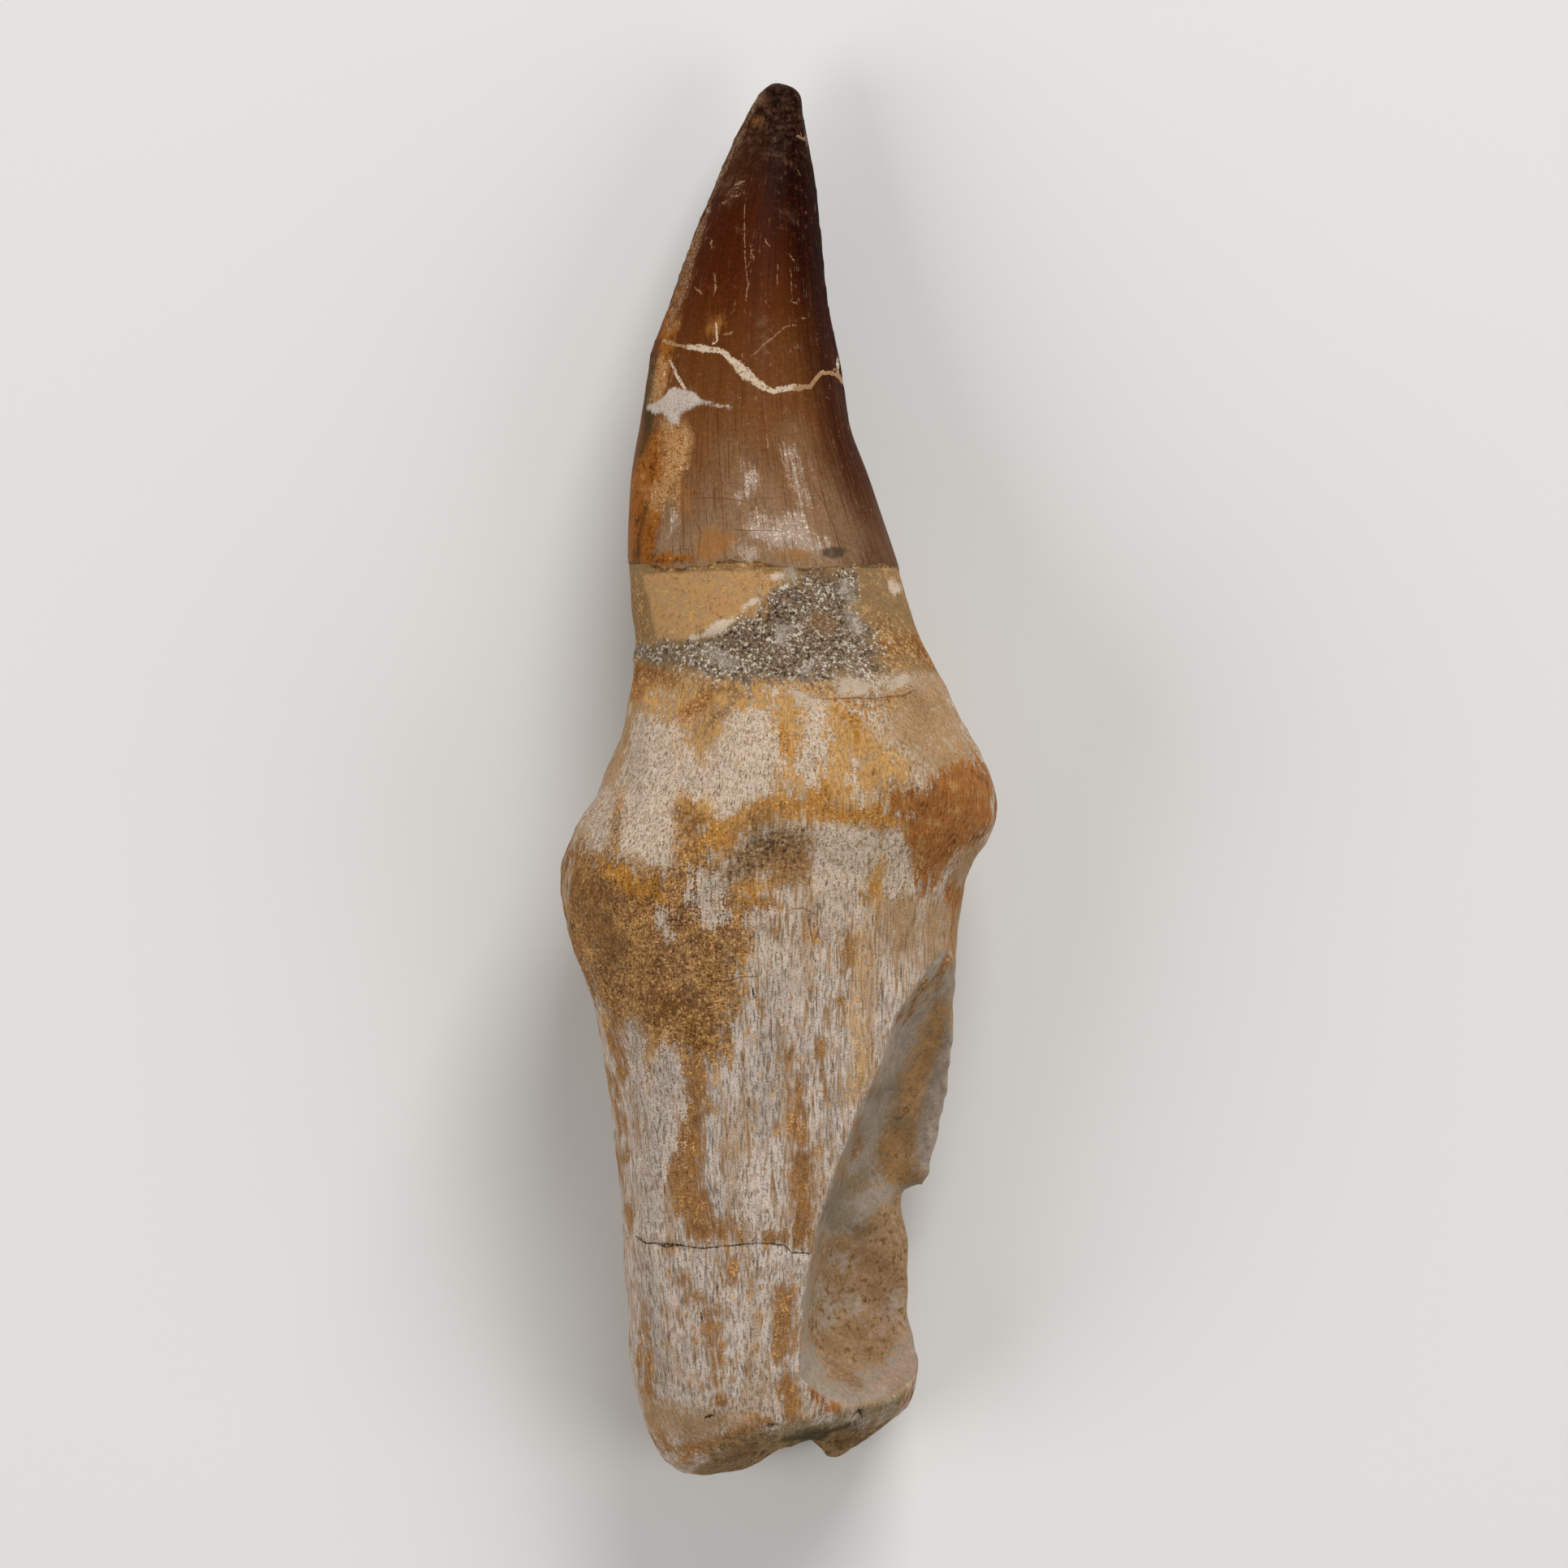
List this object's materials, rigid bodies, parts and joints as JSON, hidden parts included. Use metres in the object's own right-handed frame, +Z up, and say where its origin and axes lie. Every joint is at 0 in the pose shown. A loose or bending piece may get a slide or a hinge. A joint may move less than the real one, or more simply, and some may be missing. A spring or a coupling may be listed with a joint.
{
  "type": "fossil mosasaur tooth",
  "caption": "Rooted fossil tooth of a mosasaur, lying down: curved pointed crown, swollen root with a hollowed side and an open base.",
  "frame": {"origin": "on the surface that the tooth lies on, under the middle of its bounding box", "axes": "+Y along the tooth towards the tip of the crown, +Z up to the face that shows in the picture, +X towards the hollowed side of the root"},
  "size_m": [0.0406, 0.1296, 0.03],
  "materials": {
    "fossil_bone": "mineralised bone, mottled cream and ochre, with a glossy red-brown enamel crown"
  },
  "bodies": {
    "root": {"tooth": "fossil_bone"}
  },
  "joints": []
}
